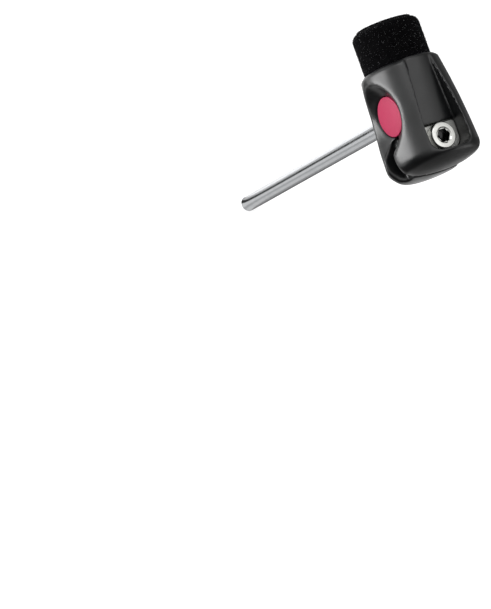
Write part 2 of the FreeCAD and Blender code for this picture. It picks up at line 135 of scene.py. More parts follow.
def copy_of(node):
    """A new piece with a copy of a CAD node's mesh, its loose triangles merged."""
    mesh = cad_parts[node].data.copy()
    mesh.materials.clear()
    piece = bpy.data.objects.new(node + "_copy", mesh)
    bpy.context.scene.collection.objects.link(piece)
    only(piece)
    bpy.ops.object.mode_set(mode="EDIT")
    bpy.ops.mesh.select_all(action="SELECT")
    bpy.ops.mesh.remove_doubles(threshold=0.001 * MM)
    bpy.ops.object.mode_set(mode="OBJECT")
    return piece


def settle(piece, name, body, slot, *nodes):
    """Names a finished piece, puts its place into its mesh and ties it to the frame."""
    only(piece)
    bpy.ops.object.transform_apply(location=True, rotation=True, scale=True)
    piece.name = piece.data.name = name
    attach(piece, body)
    if nodes:
        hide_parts(*nodes)
    triangles = sum(len(face.vertices) - 2 for face in piece.data.polygons)
    print(f"{name}: {triangles} triangles, {[round(d / MM, 1) for d in piece.dimensions]} mm")


# %% [markdown]
# ## Rod
#
# The rod is drawn steel, ground round and chrome plated. It is one turned piece: 8 mm thick up to the
# shoulder that stands on the hub, then a thinner spigot inside the hub. A spun profile would do, and so does
# a cylinder whose top face is inset and extruded, which takes fewer steps. Many sides keep the mirror finish
# free of facets.

# %% Model the rod
ROD_RADIUS, SHOULDER, ROD_TOP, SPIGOT_RADIUS = 4.0 * MM, 171 * MM, 186 * MM, 3.0 * MM
bpy.ops.mesh.primitive_cylinder_add(
    vertices=128, radius=ROD_RADIUS, depth=SHOULDER, location=(0, 0, SHOULDER / 2)
)
rod = bpy.context.object
bpy.ops.object.transform_apply(location=True)
bpy.ops.object.mode_set(mode="EDIT")
pick("FACE", lambda face: face.normal.z > 0.9)
bpy.ops.mesh.inset(thickness=ROD_RADIUS - SPIGOT_RADIUS)
bpy.ops.mesh.extrude_region_move(TRANSFORM_OT_translate={"value": (0, 0, ROD_TOP - SHOULDER)})
ring = pick("EDGE", lambda edge: all(v.co.z < CLOSE or v.co.z > ROD_TOP - CLOSE for v in edge.verts))
bpy.ops.mesh.bevel(offset=0.4 * MM, segments=3, affect="EDGES")
bpy.ops.object.mode_set(mode="OBJECT")
bpy.ops.object.shade_smooth_by_angle(angle=math.radians(30))
settle(rod, "steel_rod", "rod", "chrome_steel", "rod")
print(f"{ring} edges rounded at the ends")

# %% [markdown]
# ## Discs on the hub
#
# Each end of the hub is closed by a flat moulded disc, the one spot of colour on the beater. It is a cylinder
# laid on its side, with the peg that holds it extruded from the inner face and its outer edge rounded. The
# second disc is the mirror image of the first: it is copied with its own mesh and scaled by -1, which turns
# the faces inside out, so that their normals are recalculated.

# %% Model the discs
DISC_RADIUS, DISC_INNER, DISC_OUTER = 9.8 * MM, 12.7 * MM, 14.3 * MM
PEG_RADIUS, PEG_LENGTH = 2.5 * MM, 4 * MM
bpy.ops.mesh.primitive_cylinder_add(
    vertices=128, radius=DISC_RADIUS, depth=DISC_OUTER - DISC_INNER,
    location=(-(DISC_INNER + DISC_OUTER) / 2, 0, HUB.z), rotation=(0, math.pi / 2, 0),
)
left_disc = bpy.context.object
bpy.ops.object.transform_apply(location=True, rotation=True)
bpy.ops.object.mode_set(mode="EDIT")
pick("FACE", lambda face: face.normal.x > 0.9)
bpy.ops.mesh.inset(thickness=DISC_RADIUS - PEG_RADIUS)
bpy.ops.mesh.extrude_region_move(TRANSFORM_OT_translate={"value": (PEG_LENGTH, 0, 0)})
pick("EDGE", lambda edge: all(v.co.x < -DISC_OUTER + CLOSE for v in edge.verts))
bpy.ops.mesh.bevel(offset=0.45 * MM, segments=4, affect="EDGES")
bpy.ops.object.mode_set(mode="OBJECT")
bpy.ops.object.shade_smooth_by_angle(angle=math.radians(30))

bpy.ops.object.duplicate()
right_disc = bpy.context.object
right_disc.scale.x = -1
bpy.ops.object.transform_apply(scale=True)
bpy.ops.object.mode_set(mode="EDIT")
bpy.ops.mesh.select_all(action="SELECT")
bpy.ops.mesh.normals_make_consistent(inside=False)
bpy.ops.object.mode_set(mode="OBJECT")
settle(left_disc, "disc_left", "rod", "disc_plastic", "hub_disc_left")
settle(right_disc, "disc_right", "rod", "disc_plastic", "hub_disc_right")

# %% [markdown]
# ## Moulded head
#
# The head is injection moulded, and its main forms are exact in the CAD solid, so a copy of that is the
# start. In the solid the slot of the clamp is the same all round. On the real head it opens wide at each
# side, below the disc, and in the middle of the back a tongue on the lower jaw closes it to a seam of 1 mm.
# Both are simple blocks. The side openings are cut out of the copy with a boolean. The tongue is first
# trimmed by the ball that domes the back, so that it ends flush with it, and then joined on.

# %% Open the slot at the sides
SLOT_BACK, SLOT_FRONT, SLOT_LOW, SLOT_HIGH = -34 * MM, -10.5 * MM, -5 * MM, 2 * MM
OPENING_WIDTH, OPENING_HEIGHT, OPENING_ROUND = 14 * MM, 3.2 * MM, 3 * MM
TONGUE_HALF, TONGUE_FRONT, TONGUE_LOW, TONGUE_TOP = 13 * MM, -26 * MM, -3 * MM, 1 * MM


def at_front_below(edge):
    """True for the edge of an opening's block that is at its front and at its bottom."""
    return all(v.co.y > SLOT_FRONT - CLOSE and v.co.z < HUB.z + SLOT_LOW + CLOSE for v in edge.verts)


head = copy_of("head_shell")
for side in (-1, 1):
    bpy.ops.mesh.primitive_cube_add(size=1, location=(
        side * (TONGUE_HALF + OPENING_WIDTH / 2), (SLOT_BACK + SLOT_FRONT) / 2,
        HUB.z + SLOT_LOW + OPENING_HEIGHT / 2,
    ))
    cutter = bpy.context.object
    cutter.scale = (OPENING_WIDTH, SLOT_FRONT - SLOT_BACK, OPENING_HEIGHT)
    bpy.ops.object.transform_apply(location=True, scale=True)
    bpy.ops.object.mode_set(mode="EDIT")
    pick("EDGE", at_front_below)
    bpy.ops.mesh.bevel(offset=OPENING_ROUND, segments=4, affect="EDGES")
    bpy.ops.object.mode_set(mode="OBJECT")
    modify(head, "BOOLEAN", operation="DIFFERENCE", object=cutter, solver="EXACT")
    bpy.data.objects.remove(cutter)
print(f"slot: {(SLOT_HIGH - SLOT_LOW) / MM:.0f} mm wide at the sides")

# %% Close the slot in the middle of the back
DOME_MIDDLE, DOME_RADIUS = HUB + Vector((0, 57.4 * MM, -10 * MM)), 90 * MM
bpy.ops.mesh.primitive_uv_sphere_add(
    segments=256, ring_count=128, radius=DOME_RADIUS, location=DOME_MIDDLE
)
dome = bpy.context.object
bpy.ops.mesh.primitive_cube_add(
    size=1, location=(0, (SLOT_BACK + TONGUE_FRONT) / 2, HUB.z + (TONGUE_LOW + TONGUE_TOP) / 2)
)
tongue = bpy.context.object
tongue.scale = (2 * TONGUE_HALF, TONGUE_FRONT - SLOT_BACK, TONGUE_TOP - TONGUE_LOW)
bpy.ops.object.transform_apply(location=True, scale=True)
modify(tongue, "BOOLEAN", operation="INTERSECT", object=dome, solver="EXACT")
modify(head, "BOOLEAN", operation="UNION", object=tongue, solver="EXACT")
print(f"tongue: {[round(d / MM, 1) for d in tongue.dimensions]} mm")
bpy.data.objects.remove(dome)
bpy.data.objects.remove(tongue)

# %% [markdown]
# No edge of a moulding is sharp: plastic doesn't fill a sharp corner, and the tool is polished. The CAD solid
# has crisp edges. Bevelling each of them by hand where four or five curved faces meet gives pinched corners.
# A voxel remesh turns the solid into one even skin of small squares instead, and smoothing that skin draws
# every edge into a soft round, just as a moulder's tool does.

# %% Remesh the head
modify(head, "REMESH", mode="VOXEL", voxel_size=0.5 * MM, use_smooth_shade=True)
modify(head, "SMOOTH", factor=0.5, iterations=8)
print(f"head skin: {len(head.data.vertices)} points")

# %% [markdown]
# The floor of the channel on top is crowned from side to side. In the CAD solid its curve is the same all
# along, 21 mm in radius. The light on the real one shows that it is rounder at the mouth and flatter towards
# the bolt. Sculpting would do that by hand. Here the change of height is painted as the weight of two vertex
# groups, and a displacement along Z moves the one up and the other down, by 1.5 mm at most.

# %% Measure the channel
COLLAR_FRONT = 22.3 * MM
CHANNEL_MOUTH, CHANNEL_SPREAD, CHANNEL_LENGTH = 6.4 * MM, 4.9 * MM, 34.8 * MM
FLOOR_TOP, FLOOR_SLOPE, FLOOR_END = 16.5 * MM, math.radians(7.5), -12 * MM
FLOOR_SIDE, FLOOR_RIM = 0.6 * MM, 0.2 * MM  # how far past its walls and its mouth the floor still counts
FLOOR_REACH, FLOOR_FADE = 1.0 * MM, 3 * MM  # how the lift fades, off the floor and towards its end
CROWN, MOUTH_CROWN, BOLT_CROWN, LIFT = 21 * MM, 12.5 * MM, 42 * MM, 1.5 * MM


def channel_half(y):
    """Half the channel's width, which spreads from the front of the collar to the bolt's pocket."""
    return CHANNEL_MOUTH + CHANNEL_SPREAD * (COLLAR_FRONT - y) / CHANNEL_LENGTH


def sag(radius, x):
    """How far an arc falls below its top at a distance from its middle."""
    return radius - math.sqrt(radius ** 2 - x ** 2)


def floor_lift(p):
    """How far a point on or near the channel's floor has to move up."""
    beside = abs(p.x) > channel_half(p.y) + FLOOR_SIDE
    if beside or not FLOOR_END < p.y < COLLAR_FRONT + FLOOR_RIM or p.z < HUB.z:
        return 0
    above = p.z - HUB.z - FLOOR_TOP - p.y * math.tan(FLOOR_SLOPE) + sag(CROWN, p.x)
    share = (COLLAR_FRONT - p.y) / (COLLAR_FRONT - FLOOR_END)
    lift = sag(CROWN, p.x) - sag(MOUTH_CROWN + (BOLT_CROWN - MOUTH_CROWN) * share, p.x)
    return lift * math.exp(-(above / FLOOR_REACH) ** 2) * min(1, (p.y - FLOOR_END) / FLOOR_FADE)


# %% Flatten the channel's floor towards the bolt
lifts = [floor_lift(vertex.co) for vertex in head.data.vertices]
for name, sign in (("floor_up", 1), ("floor_down", -1)):
    group = head.vertex_groups.new(name=name)
    for index, lift in enumerate(lifts):
        if sign * lift > 0.005 * MM:
            group.add([index], sign * lift / LIFT, "REPLACE")
    modify(head, "DISPLACE", direction="Z", strength=sign * LIFT, mid_level=0, vertex_group=name)
print(f"channel floor: {max(lifts) / MM:.2f} mm up and {min(lifts) / MM:.2f} mm down at most")

# %% [markdown]
# Some edges of the real head are rounder than the rest: the low crest round the barrel at the hub, the rims
# of the side dishes, the rim that runs from the barrel into the back, the lips and corners of the clamp's
# slot and the edges of the channel. Each is where two simple forms meet, so a point is near that edge if it
# is near both forms. That nearness is painted into a vertex group, and a second smoothing works by its weight
# and fades out into the faces beside the edge.

# %% Measure how far a point is from each form
BARREL_LEAN, FRONT_TAPER, BACK_TAPER = (math.radians(angle) for angle in (2.6, 8.0, 2.4))
BARREL_AXIS = Vector((0, math.cos(BARREL_LEAN), -math.sin(BARREL_LEAN)))
BARREL_MIDDLE = HUB + Vector((0, 0, 1.2 * MM))
BARREL_RADIUS = 22.45 * MM
DISH_MIDDLE, DISH_RADIUS = HUB + Vector((32.96 * MM, 0, 0)), 21.37 * MM
CREST_CLEAR, JAW_SIDE = 12.5 * MM, 14 * MM  # how far from the middle the crest and the jaw's side begin
UPPER_LIP, LIPS_PART = 2.5 * MM, -1.5 * MM  # heights from the hub, of the lip and between the two lips
LIPS_START, CHANNEL_END = -9 * MM, -10 * MM  # along Y, where the slot begins and the channel's walls end
FAR = 1  # a metre, too far for any weight


def off_barrel(p):
    """Distance from the barrel, which narrows from the hub to the front and widens a little to the back."""
    along = (p - BARREL_MIDDLE).dot(BARREL_AXIS)
    across = (p - BARREL_MIDDLE - BARREL_AXIS * along).length
    return across - BARREL_RADIUS + along * math.tan(FRONT_TAPER if along > 0 else BACK_TAPER)


def off_crest(p):
    """Distance from the ring round the hub where the barrel's tapers meet, clear of the channel on top."""
    on_top = max(0, CREST_CLEAR - abs(p.x)) if p.z > HUB.z else 0
    return abs((p - BARREL_MIDDLE).dot(BARREL_AXIS)) + on_top


def off_dish(p):
    """Distance from the ball that hollows out the nearer side dish."""
    return (Vector((abs(p.x), p.y, p.z)) - DISH_MIDDLE).length - DISH_RADIUS


def off_back(p):
    """Distance from the large ball that domes the back."""
    return (p - DOME_MIDDLE).length - DOME_RADIUS


def off_slot(p):
    """Distance from the slot's upper or lower lip, behind the hub."""
    lip = UPPER_LIP if p.z > HUB.z + LIPS_PART else SLOT_LOW
    return abs(p.z - HUB.z - lip) + max(0, p.y - LIPS_START)


def off_lower_back(p):
    """Distance from the back's ball at the sides of the lower jaw, where the back is rounder."""
    return math.hypot(off_back(p), max(0, JAW_SIDE - abs(p.x))) if p.z < HUB.z + SLOT_LOW else FAR


def off_lip_corner(p):
    """Distance from the line in which the back's ball meets the slot's upper face."""
    return math.hypot(off_back(p), p.z - HUB.z - SLOT_HIGH)


def off_channel(p):
    """Distance from the channel's two side walls on top."""
    return abs(abs(p.x) - channel_half(p.y)) + (0 if p.z > HUB.z and p.y > CHANNEL_END else FAR)


# %% Round the soft edges
SOFT_EDGES = (
    ("crest", off_crest, 4.0 * MM, 60),
    ("dish_rims", off_dish, 2.6 * MM, 60),
    ("back_rim", off_back, 3.2 * MM, 90),
    ("slot_lips", off_slot, 1.4 * MM, 14),
    ("lower_rim", off_lower_back, 4.0 * MM, 110),
    ("lip_corners", off_lip_corner, 4.2 * MM, 450),
    ("channel_edges", off_channel, 0.9 * MM, 24),
)
for name, form, width, rounds in SOFT_EDGES:
    group = head.vertex_groups.new(name=name)
    painted = 0
    for vertex in head.data.vertices:
        weight = math.exp(-(form(vertex.co) ** 2 + off_barrel(vertex.co) ** 2) / (2 * width ** 2))
        if weight > 0.02:
            group.add([vertex.index], weight, "REPLACE")
            painted += 1
    modify(head, "SMOOTH", factor=0.5, iterations=rounds, vertex_group=name)
    print(f"{name}: {painted} points softened")
only(head)
bpy.ops.object.shade_smooth()
settle(head, "moulded_head", "head", "head_plastic", "head_shell")

# %% [markdown]
# ## Felt
#
# The felt is pressed wool, a solid block and not a cushion, so no cloth is simulated. It starts as a cylinder
# along the strike. Its front edge is bevelled round and its face raised to a low crown by insets that each
# step forward. A remesh then gives it even squares, and two displacements, one of 5 mm lumps and one of
# 0.8 mm grain, leave the slightly uneven skin that pressing gives.

# %% Model the felt
FELT_RADIUS, FELT_BACK, FELT_FRONT, FELT_ROUND = 16.7 * MM, 14.4 * MM, 43.8 * MM, 3.8 * MM
CROWN_STEPS, CROWN_INSET = (0.34, 0.24, 0.16, 0.08, 0.03), 2.4 * MM
felt_length = FELT_FRONT - sum(CROWN_STEPS) * MM - FELT_BACK
bpy.ops.mesh.primitive_cylinder_add(
    vertices=128, radius=FELT_RADIUS, depth=felt_length,
    location=(0, FELT_BACK + felt_length / 2, HUB.z), rotation=(-math.pi / 2, 0, 0),
)
felt = bpy.context.object
bpy.ops.object.transform_apply(location=True, rotation=True)
bpy.ops.object.mode_set(mode="EDIT")
pick("EDGE", lambda edge: all(v.co.y > FELT_BACK + felt_length - CLOSE for v in edge.verts))
bpy.ops.mesh.bevel(offset=FELT_ROUND, segments=8, affect="EDGES")
pick("FACE", lambda face: face.normal.y > 0.99)
for step in CROWN_STEPS:
    bpy.ops.mesh.inset(thickness=CROWN_INSET)
    bpy.ops.transform.translate(value=(0, step * MM, 0))
bpy.ops.object.mode_set(mode="OBJECT")
modify(felt, "REMESH", mode="VOXEL", voxel_size=0.45 * MM, use_smooth_shade=True)
modify(felt, "SMOOTH", factor=0.5, iterations=6)
for name, size, height in (("lumps", 5 * MM, 0.22 * MM), ("grain", 0.8 * MM, 0.10 * MM)):
    pattern = bpy.data.textures.new("felt_" + name, "CLOUDS")
    pattern.noise_scale = size
    modify(felt, "DISPLACE", texture=pattern, texture_coords="LOCAL", strength=height, mid_level=0.5)
settle(felt, "felt_block", "head", "felt", "felt_pad")

# %% [markdown]
# Up close, felt is never a clean surface: wool fibres stand out of it. One fibre is a triangle extruded twice
# along a bend and drawn to a point. Three of them with different bends are modelled, then copied to points
# spread evenly over the felt that shows. Wool is about 0.03 mm thick, which no picture of this size shows, so
# that the fibres are drawn at 0.08 mm.

# %% Model three fibres
FIBRE_RADIUS, FIBRE_ROOT, FIBRE_STEPS = 0.04 * MM, 0.1 * MM, (0.3 * MM, 0.25 * MM)
fibres = []
for lean, curl in ((0.10, 0.16), (0.22, -0.10), (-0.16, 0.24)):
    bpy.ops.mesh.primitive_circle_add(vertices=3, radius=FIBRE_RADIUS, fill_type="NGON")
    fibre = bpy.context.object
    bpy.ops.object.mode_set(mode="EDIT")
    bpy.ops.mesh.select_all(action="SELECT")
    for bend, rise in zip(((lean * MM, 0), (curl * MM, 0.1 * MM)), FIBRE_STEPS):
        bpy.ops.mesh.extrude_region_move(TRANSFORM_OT_translate={"value": (*bend, rise)})
    bpy.ops.mesh.merge(type="CENTER")
    bpy.ops.mesh.select_all(action="SELECT")
    bpy.ops.mesh.normals_make_consistent(inside=False)
    bpy.ops.object.mode_set(mode="OBJECT")
    fibres.append(fibre)
print(f"a fibre has {len(fibres[0].data.polygons)} faces")

# %% Spread the fibres over the felt
FIBRE_COUNT = 2600
chance = random.Random(7)
showing = [face for face in felt.data.polygons if face.center.y > COLLAR_FRONT + 0.5 * MM]
spots = chance.choices(showing, weights=[face.area for face in showing], k=FIBRE_COUNT)
fuzz_shape = bmesh.new()
for face in spots:
    strand = chance.choice(fibres).data.copy()
    stretch = Matrix.Diagonal((1, 1, chance.uniform(0.5, 1.5), 1))
    spin = Matrix.Rotation(chance.uniform(0, math.tau), 4, "Z")
    stand = face.normal.to_track_quat("Z", "Y").to_matrix().to_4x4()
    root = Matrix.Translation(face.center - face.normal * FIBRE_ROOT)
    strand.transform(root @ stand @ spin @ stretch)
    fuzz_shape.from_mesh(strand)
    bpy.data.meshes.remove(strand)
fuzz = bpy.data.objects.new("fuzz", bpy.data.meshes.new("fuzz"))
fuzz_shape.to_mesh(fuzz.data)
fuzz_shape.free()
bpy.context.scene.collection.objects.link(fuzz)
for fibre in fibres:
    bpy.data.objects.remove(fibre)
settle(fuzz, "felt_fibres", "head", "felt")

# %% [markdown]
# ## Clamp bolt
#
# The bolt is a low head M8 screw, turned, pressed with a hexagon socket and plated. The head is a cylinder
# with its shank extruded below. The socket could be cut by hand, face by face, but a boolean with a six-sided
# prism is how the press makes it: one punch, one hole. The punch leaves a small cone in the floor of the
# socket. A last bevel breaks every edge that the cut left sharp.

# %% Model the bolt
BOLT_Y, HEAD_SEAT, HEAD_TOP = -17.4 * MM, 192.55 * MM, 197.55 * MM
HEAD_RADIUS, HEAD_ROUND, HEAD_LAND = 6.5 * MM, 0.6 * MM, 1.8 * MM
SHANK_RADIUS, SHANK_LENGTH, SHANK_POINT = 4.0 * MM, 30 * MM, 0.9 * MM
bpy.ops.mesh.primitive_cylinder_add(
    vertices=96, radius=HEAD_RADIUS, depth=HEAD_TOP - HEAD_SEAT,
    location=(0, BOLT_Y, (HEAD_SEAT + HEAD_TOP) / 2),
)
bolt = bpy.context.object
bpy.ops.object.transform_apply(location=True)
bpy.ops.object.mode_set(mode="EDIT")
pick("FACE", lambda face: face.normal.z < -0.9)
bpy.ops.mesh.inset(thickness=HEAD_RADIUS - SHANK_RADIUS)
bpy.ops.mesh.extrude_region_move(TRANSFORM_OT_translate={"value": (0, 0, -SHANK_LENGTH)})
pick("EDGE", lambda edge: all(v.co.z < HEAD_SEAT - SHANK_LENGTH + CLOSE for v in edge.verts))
bpy.ops.mesh.bevel(offset=SHANK_POINT, segments=1, affect="EDGES")
pick("EDGE", lambda edge: all(v.co.z > HEAD_TOP - CLOSE for v in edge.verts))
bpy.ops.mesh.bevel(offset=HEAD_ROUND, segments=4, affect="EDGES")
pick("FACE", lambda face: face.normal.z > 0.99)
bpy.ops.mesh.inset(thickness=HEAD_LAND)
bpy.ops.mesh.inset(thickness=0.6 * MM, depth=-0.45 * MM)
bpy.ops.object.mode_set(mode="OBJECT")

# %% Punch the socket
SOCKET_WIDTH, SOCKET_DEPTH, SOCKET_CONE = 6.0 * MM, 3.4 * MM, 0.7 * MM
bpy.ops.mesh.primitive_cylinder_add(
    vertices=6, radius=SOCKET_WIDTH / math.sqrt(3), depth=2 * SOCKET_DEPTH,
    location=(0, BOLT_Y, HEAD_TOP), rotation=(0, 0, math.pi / 6),
)
punch = bpy.context.object
bpy.ops.object.transform_apply(location=True, rotation=True)
bpy.ops.object.mode_set(mode="EDIT")
pick("FACE", lambda face: face.normal.z < -0.9)
bpy.ops.mesh.inset(thickness=0.35 * MM)
bpy.ops.mesh.extrude_region_move(TRANSFORM_OT_translate={"value": (0, 0, -SOCKET_CONE)})
bpy.ops.transform.resize(
    value=(0.15, 0.15, 1), center_override=(0, BOLT_Y, HEAD_TOP - SOCKET_DEPTH - SOCKET_CONE)
)
bpy.ops.object.mode_set(mode="OBJECT")
modify(bolt, "BOOLEAN", operation="DIFFERENCE", object=punch, solver="EXACT")
bpy.data.objects.remove(punch)
modify(bolt, "BEVEL", width=0.22 * MM, segments=2, limit_method="ANGLE", angle_limit=math.radians(40))
only(bolt)
bpy.ops.object.shade_smooth_by_angle(angle=math.radians(30))
settle(bolt, "clamp_screw", "bolt", "chrome_steel", "clamp_bolt")

# %% [markdown]
# ## Pressure plate
#
# Under the bolt's head lies a plated steel plate that spreads its force over the plastic. It is stamped from
# sheet, so it is a box with rounded corners, a hole and lightly broken edges. The back corners follow the
# pocket's large radius and the front corners its small one.

# %% Model the plate
PLATE_HALF, PLATE_LENGTH, PLATE_LOW, PLATE_THICK = 11.1 * MM, 13.4 * MM, 190.5 * MM, 2.0 * MM
BACK_CORNER, FRONT_CORNER, PLATE_HOLE = 5.4 * MM, 1.8 * MM, 4.4 * MM
plate_middle = (0, BOLT_Y, PLATE_LOW + PLATE_THICK / 2)
bpy.ops.mesh.primitive_cube_add(size=1, location=plate_middle)
plate = bpy.context.object
plate.scale = (2 * PLATE_HALF, PLATE_LENGTH, PLATE_THICK)
bpy.ops.object.transform_apply(location=True, scale=True)
bpy.ops.object.mode_set(mode="EDIT")
for side, radius in ((-1, BACK_CORNER), (1, FRONT_CORNER)):
    pick("EDGE", lambda edge: abs(edge.verts[0].co.z - edge.verts[1].co.z) > PLATE_THICK / 2
         and side * (edge.verts[0].co.y - BOLT_Y) > PLATE_LENGTH / 2 - CLOSE)
    bpy.ops.mesh.bevel(offset=radius, segments=10, affect="EDGES")
bpy.ops.object.mode_set(mode="OBJECT")
bpy.ops.mesh.primitive_cylinder_add(
    vertices=64, radius=PLATE_HOLE, depth=3 * PLATE_THICK, location=plate_middle
)
drill = bpy.context.object
modify(plate, "BOOLEAN", operation="DIFFERENCE", object=drill, solver="EXACT")
bpy.data.objects.remove(drill)
modify(plate, "BEVEL", width=0.25 * MM, segments=3, limit_method="ANGLE", angle_limit=math.radians(50))
only(plate)
bpy.ops.object.shade_smooth_by_angle(angle=math.radians(30))
settle(plate, "pressure_plate", "head", "plated_steel", "clamp_plate")

# %% [markdown]
# ## Materials
#
# Each finish starts from what the real one is and how its surface was made. Colours are written as the sRGB
# values that one would read off a screen, and one function turns them to the linear values that a shader
# takes. A second function adds a node, fills in its settings and links its inputs. Patterns read Object
# coordinates, which are metres here, so that a grain of 1 mm is a scale of 1000.

# %% Helpers for materials
def linear(hex_colour):
    """The linear RGBA of an sRGB hex value."""
    channels = [int(hex_colour[i:i + 2], 16) / 255 for i in (1, 3, 5)]
    return (*[c / 12.92 if c <= 0.04045 else ((c + 0.055) / 1.055) ** 2.4 for c in channels], 1.0)


def add_node(tree, kind, settings=None, *ordered, **named):
    """Adds a node. Values or links fill its inputs, in order or by name, written with _ for a space."""
    node = tree.nodes.new(kind)
    for key, value in (settings or {}).items():
        setattr(node, key, value)
    filled = [(node.inputs[index], value) for index, value in enumerate(ordered)]
    filled += [(node.inputs[key.replace("_", " ")], value) for key, value in named.items()]
    for socket, value in filled:
        if isinstance(value, bpy.types.NodeSocket):
            tree.links.new(value, socket)
        else:
            socket.default_value = value
    return node


def new_material(name):
    """An empty node material and its tree."""
    material = bpy.data.materials.new(name)
    material.use_nodes = True
    material.node_tree.nodes.clear()
    return material, material.node_tree


def coat(material, *pieces):
    """Gives each piece one material."""
    for piece in pieces:
        piece.data.materials.clear()
        piece.data.materials.append(material)


# %% [markdown]
# ### Black ABS
#
# The head is ABS, moulded in a polished tool. ABS has an index of refraction of about 1.53 and shines with
# broad, soft reflections. The eye reads moulding from two things: a faint waviness of about 1 mm, like orange
# peel, and patches of 7 mm that are a touch duller where the plastic cooled or was handled.

# %% Black ABS
abs_black, tree = new_material("moulded_black_abs")
place = add_node(tree, "ShaderNodeTexCoord").outputs["Object"]
handled = add_node(tree, "ShaderNodeTexNoise", Vector=place, Scale=1 / (7 * MM), Detail=3.0)
dullness = add_node(tree, "ShaderNodeMapRange", Value=handled.outputs["Fac"], From_Min=0.3, From_Max=0.7,
                    To_Min=0.28, To_Max=0.37)
peel = add_node(tree, "ShaderNodeTexNoise", Vector=place, Scale=1 / (1.1 * MM), Detail=1.0)
waves = add_node(tree, "ShaderNodeBump", Height=peel.outputs["Fac"], Strength=0.25, Distance=0.008 * MM)
tone = add_node(tree, "ShaderNodeMix", {"data_type": "RGBA"}, Factor=handled.outputs["Fac"],
                A=linear("#0C0D0E"), B=linear("#131415"))
shader = add_node(tree, "ShaderNodeBsdfPrincipled", Base_Color=tone.outputs["Result"],
                  Roughness=dullness.outputs["Result"], IOR=1.53, Normal=waves.outputs["Normal"])
add_node(tree, "ShaderNodeOutputMaterial", Surface=shader.outputs["BSDF"])
coat(abs_black, head)

# %% [markdown]
# ### Black wool felt
#
# Felt is matted wool, dyed black. It has no shine, only the faint grey bloom that fibres give at the edges of
# the form, which the shader's sheen stands for. The mat itself is drawn by two noises: tangled strands of
# about 0.25 mm that are coarser than real wool so that they show, and 3 mm clouds where the pressing is
# uneven.

# %% Black wool felt
wool, tree = new_material("pressed_wool_felt")
place = add_node(tree, "ShaderNodeTexCoord").outputs["Object"]
strands = add_node(tree, "ShaderNodeTexNoise", Vector=place, Scale=1 / (0.25 * MM), Detail=4.0,
                   Distortion=2.5)
clouds = add_node(tree, "ShaderNodeTexNoise", Vector=place, Scale=1 / (3 * MM), Detail=2.0)
mat = add_node(tree, "ShaderNodeMath", {"operation": "MULTIPLY"}, strands.outputs["Fac"],
               clouds.outputs["Fac"])
shade = add_node(tree, "ShaderNodeMapRange", Value=mat.outputs["Value"], From_Min=0.12, From_Max=0.42)
tone = add_node(tree, "ShaderNodeMix", {"data_type": "RGBA"}, Factor=shade.outputs["Result"],
                A=linear("#020203"), B=linear("#0B0B0C"))
tangle = add_node(tree, "ShaderNodeBump", Height=strands.outputs["Fac"], Strength=0.6, Distance=0.12 * MM)
shader = add_node(tree, "ShaderNodeBsdfPrincipled", Base_Color=tone.outputs["Result"], Roughness=1.0,
                  Normal=tangle.outputs["Normal"], Specular_IOR_Level=0.03, Sheen_Weight=0.03,
                  Sheen_Roughness=0.5, Sheen_Tint=linear("#9A9AA0"))
add_node(tree, "ShaderNodeOutputMaterial", Surface=shader.outputs["BSDF"])
coat(wool, felt)

# %% [markdown]
# The loose fibres are the same wool, but some are coloured much lighter, as a painted highlight for the light
# that loose fibres catch. That is what lets the eye find them against the black. Patches of 1.5 mm decide
# which ones.

# %% Fibres with a painted highlight
highlighted_fibre_wool, tree = new_material("fibres_painted_highlight")
place = add_node(tree, "ShaderNodeTexCoord").outputs["Object"]
highlight_patches = add_node(tree, "ShaderNodeTexNoise", Vector=place, Scale=1 / (1.5 * MM), Detail=2.0)
painted_highlight = add_node(tree, "ShaderNodeMapRange", Value=highlight_patches.outputs["Fac"], From_Min=0.45, From_Max=0.72)
# painted highlight: the fibres in some patches are coloured light grey
tone = add_node(tree, "ShaderNodeMix", {"data_type": "RGBA"}, Factor=painted_highlight.outputs["Result"],
                A=linear("#18181A"), B=linear("#B0B0B4"))
shader = add_node(tree, "ShaderNodeBsdfPrincipled", Base_Color=tone.outputs["Result"], Roughness=1.0,
                  Specular_IOR_Level=0.1)
add_node(tree, "ShaderNodeOutputMaterial", Surface=shader.outputs["BSDF"])
coat(highlighted_fibre_wool, fuzz)

# %% [markdown]
# ### Chrome plated steel
#
# The rod is chrome plated, and the metal's colour is slightly blue. Grinding leaves fine rings round the
# axis. A noise that is stretched round the axis and fine along it draws them at 0.3 mm. Handling leaves
# patches of 5 mm where the chrome is slightly duller.

# %% Chrome plated steel
chrome, tree = new_material("chrome_plated_steel")
place = add_node(tree, "ShaderNodeTexCoord").outputs["Object"]
along = add_node(tree, "ShaderNodeMapping", Vector=place,
                 Scale=(1 / (6 * MM), 1 / (6 * MM), 1 / (0.3 * MM)))
rings = add_node(tree, "ShaderNodeTexNoise", Vector=along.outputs["Vector"], Scale=1.0, Detail=2.0)
handled = add_node(tree, "ShaderNodeTexNoise", Vector=place, Scale=1 / (5 * MM), Detail=4.0)
dullness = add_node(tree, "ShaderNodeMapRange", Value=handled.outputs["Fac"], From_Min=0.3, From_Max=0.75,
                    To_Min=0.14, To_Max=0.24)
tone = add_node(tree, "ShaderNodeMix", {"data_type": "RGBA"}, Factor=handled.outputs["Fac"],
                A=linear("#E6E8EA"), B=linear("#D3D5D8"))
hairlines = add_node(tree, "ShaderNodeBump", Height=rings.outputs["Fac"], Strength=0.15, Distance=0.01 * MM)
shader = add_node(tree, "ShaderNodeBsdfPrincipled", Base_Color=tone.outputs["Result"], Metallic=1.0,
                  Roughness=dullness.outputs["Result"], Normal=hairlines.outputs["Normal"])
add_node(tree, "ShaderNodeOutputMaterial", Surface=shader.outputs["BSDF"])
coat(chrome, rod)

# %% [markdown]
# ### Zinc plated steel
#
# The plate and the nut are steel with a satin zinc plating, greyer and softer than chrome. The rolling of the
# sheet shows as fine streaks one way, here 0.25 mm apart along X, and the plating is cloudy.

